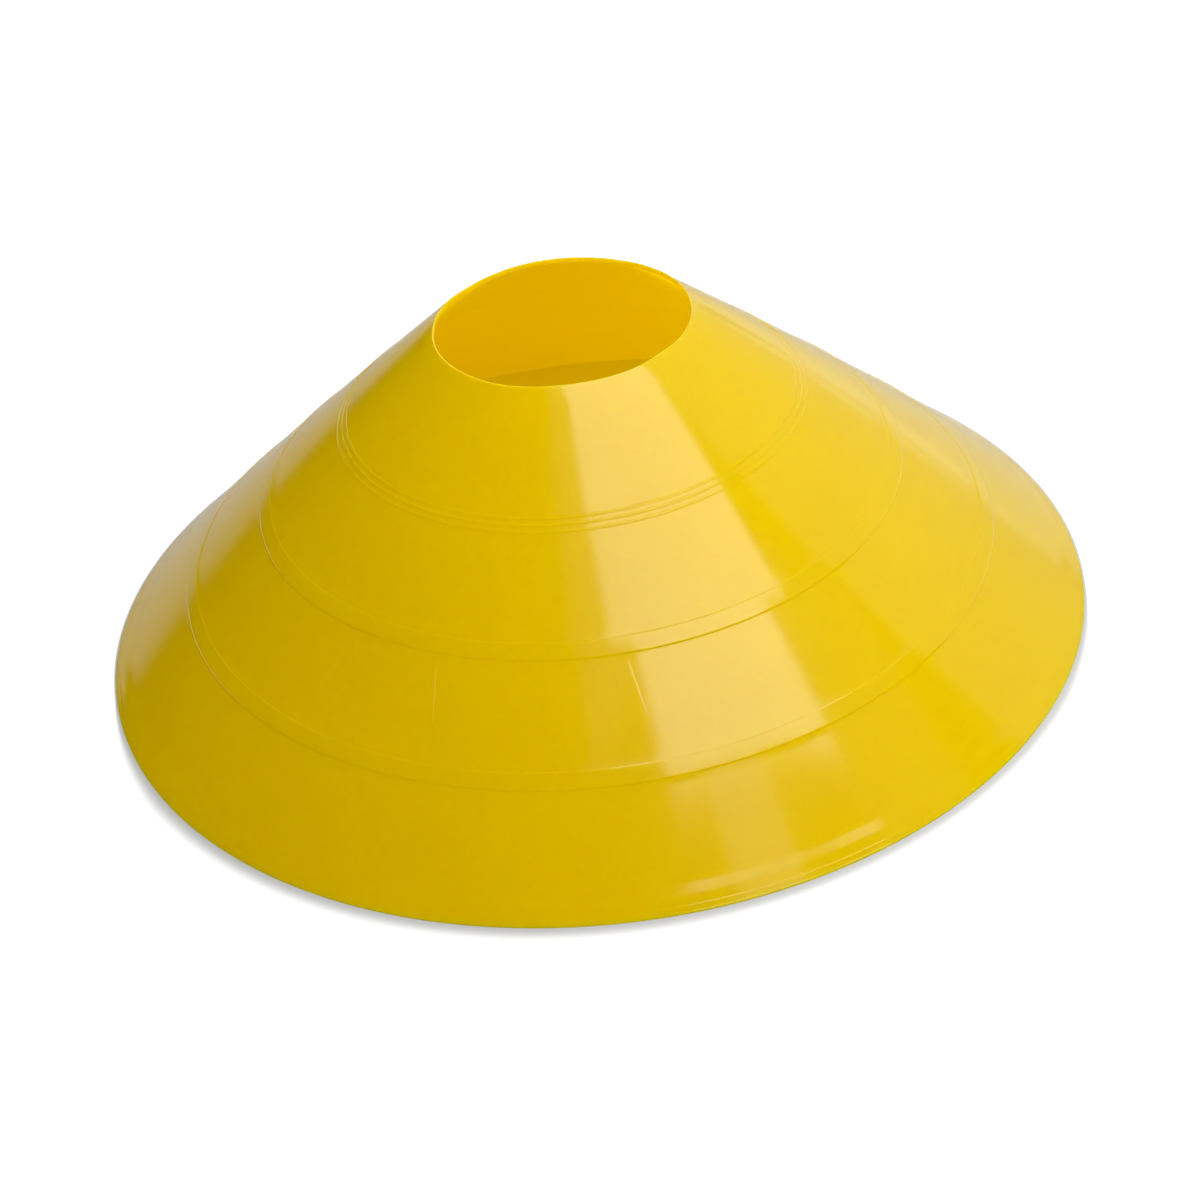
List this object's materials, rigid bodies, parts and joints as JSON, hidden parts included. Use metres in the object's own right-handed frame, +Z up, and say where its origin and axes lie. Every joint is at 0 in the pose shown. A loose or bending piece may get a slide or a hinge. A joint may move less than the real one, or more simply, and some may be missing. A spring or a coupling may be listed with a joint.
{
  "type": "sports marker cone",
  "caption": "Low, wide marker cone for sports fields: a thin glossy plastic shell in steps, open at the foot, with a round hole in the top for stacking on a post.",
  "frame": {"origin": "centre of the foot, on the ground that the cone stands on", "axes": "+Z up along the axis of the cone, through the hole in the top; the shell is the same all round, so +X and +Y point anywhere across the foot"},
  "size_m": [0.3048, 0.3048, 0.1016],
  "materials": {
    "cone_plastic": "glossy yellow low-density polyethylene, coloured through, with faint rubbed marks"
  },
  "bodies": {
    "root": {"cone_shell": "cone_plastic"}
  },
  "joints": []
}
